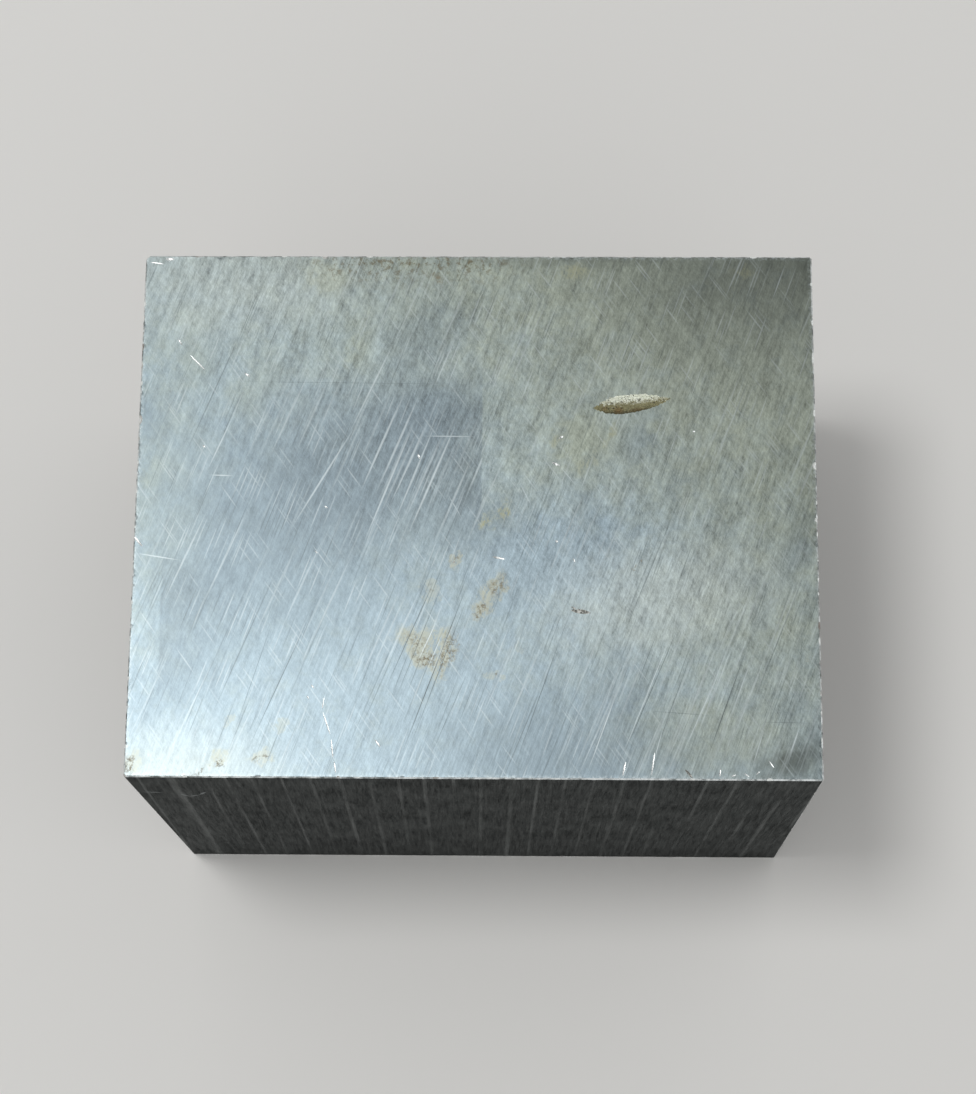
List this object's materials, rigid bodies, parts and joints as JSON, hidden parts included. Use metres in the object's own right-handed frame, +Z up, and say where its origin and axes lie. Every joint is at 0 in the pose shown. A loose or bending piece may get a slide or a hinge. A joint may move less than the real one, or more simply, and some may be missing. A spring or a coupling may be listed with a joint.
{
  "type": "steel block",
  "caption": "Solid rectangular steel block with a hand-ground top, sawn upright sides, crisp nicked edges and a shallow gouge in the top.",
  "frame": {"origin": "middle of the underside, where the block rests", "axes": "+X along the block's length, +Y across it from the sawn front face to the back, +Z up out of the ground top"},
  "size_m": [0.063, 0.05, 0.05],
  "materials": {
    "bare_steel": "bare steel, ground by hand on top and sawn on the upright sides, with light rust staining"
  },
  "bodies": {
    "root": {"steel_block": "bare_steel"}
  },
  "joints": []
}
